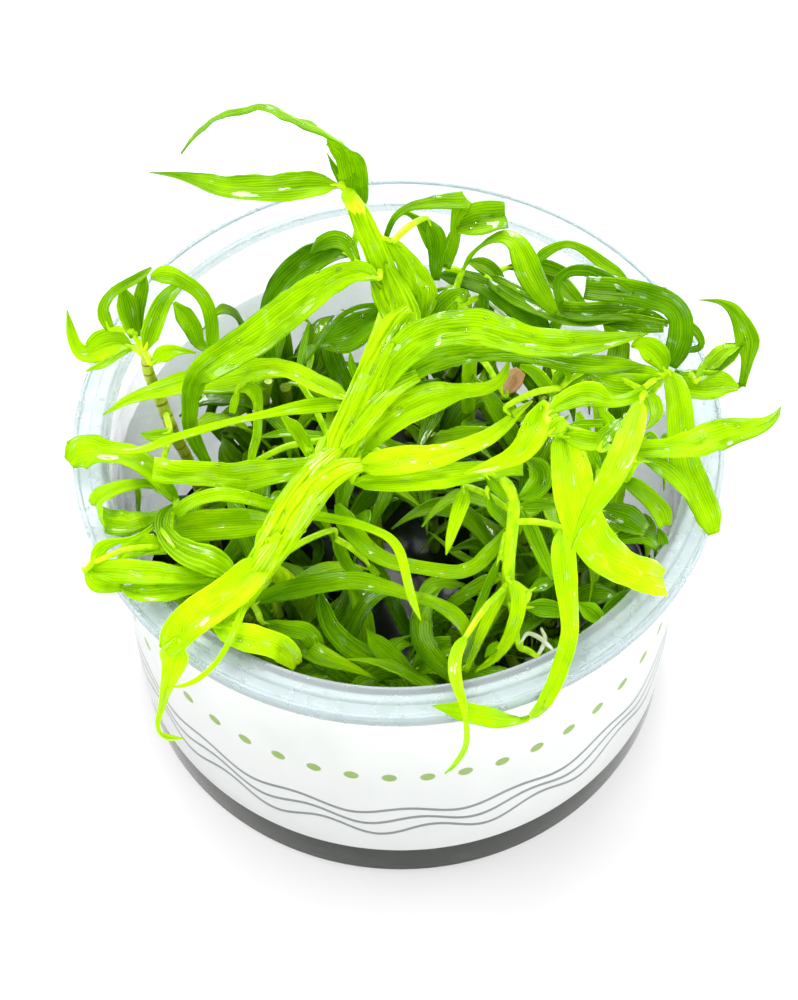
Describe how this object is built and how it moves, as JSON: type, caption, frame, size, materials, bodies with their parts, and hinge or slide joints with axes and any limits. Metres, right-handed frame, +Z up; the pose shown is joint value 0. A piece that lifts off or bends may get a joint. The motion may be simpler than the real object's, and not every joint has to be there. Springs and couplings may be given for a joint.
{
  "type": "potted water stargrass",
  "caption": "Long strap leaves and jointed stems of an aquarium plant crowding out of a low clear culture cup with a white wrap label and dark gel.",
  "frame": {"origin": "centre of the flat underside of the cup", "axes": "+Z up, -Y towards the side where the two longest leaves hang over the rim, +X to the right of that side"},
  "size_m": [0.1122, 0.1072, 0.1134],
  "materials": {
    "cup_plastic": "clear moulded plastic",
    "label_film": "smooth white printed film",
    "nutrient_gel": "dark wet gel",
    "green_stem": "wet pale green stem",
    "ringed_stem": "old stem with brown rings",
    "lit_leaf": "thin wet leaf with fine lengthwise veins",
    "shaded_leaf": "thin wet leaf, darker green",
    "lower_growth": "dark wet stems and leaves"
  },
  "bodies": {
    "root": {"back_arch_leaf": "shaded_leaf", "back_band_leaf": "shaded_leaf", "back_dark_leaf": "shaded_leaf", "back_shoot_stem": "green_stem", "back_tapering_leaf": "shaded_leaf", "big_diagonal_leaf": "lit_leaf", "broad_right_leaf": "lit_leaf", "cup": "cup_plastic", "curled_bud_leaf": "shaded_leaf", "dark_back_leaf": "shaded_leaf", "dark_band_leaf": "shaded_leaf", "folded_neck_leaf": "lit_leaf", "folded_tip_leaf": "lit_leaf", "front_forked_leaf": "lit_leaf", "front_hanging_leaf": "lit_leaf", "front_stem": "green_stem", "front_wide_low_leaf": "lit_leaf", "hooked_leaf": "lit_leaf", "label": "label_film", "leaning_right_leaf": "lit_leaf", "left_arching_leaf": "lit_leaf", "left_band_leaf": "lit_leaf", "left_loop_leaf": "shaded_leaf", "left_pale_leaf": "lit_leaf", "left_ringed_stem": "ringed_stem", "left_turning_leaf": "lit_leaf", "long_grass_leaf": "lit_leaf", "long_left_leaf": "lit_leaf", "low_left_leaf": "lit_leaf", "lower_front_shoot": "lower_growth", "lower_left_shoot": "lower_growth", "lower_right_leaf": "lit_leaf", "lower_right_shoot": "lower_growth", "middle_band_leaf": "shaded_leaf", "middle_long_leaf": "lit_leaf", "middle_low_leaf": "shaded_leaf", "middle_pointed_leaf": "lit_leaf", "middle_right_leaf": "lit_leaf", "middle_shoot_stem": "green_stem", "nutrient_gel": "nutrient_gel", "over_rim_leaf": "lit_leaf", "pale_crossing_leaf": "lit_leaf", "right_curl_leaf": "shaded_leaf", "right_hanging_leaf": "lit_leaf", "right_inner_leaf": "shaded_leaf", "right_shoot_stem": "green_stem", "right_tip_leaf": "lit_leaf", "ring_leaf": "lit_leaf", "second_right_leaf": "lit_leaf", "small_loop_leaf": "lit_leaf", "striped_front_leaf": "shaded_leaf", "tall_arch_leaf": "lit_leaf", "thin_arch_leaf": "shaded_leaf", "thin_front_strand": "lit_leaf", "thin_left_leaf": "lit_leaf", "top_arching_leaf": "lit_leaf", "top_lance_leaf": "lit_leaf", "top_shoot_stem": "green_stem", "wavy_leaf": "lit_leaf", "wide_front_leaf": "lit_leaf"}
  },
  "joints": []
}
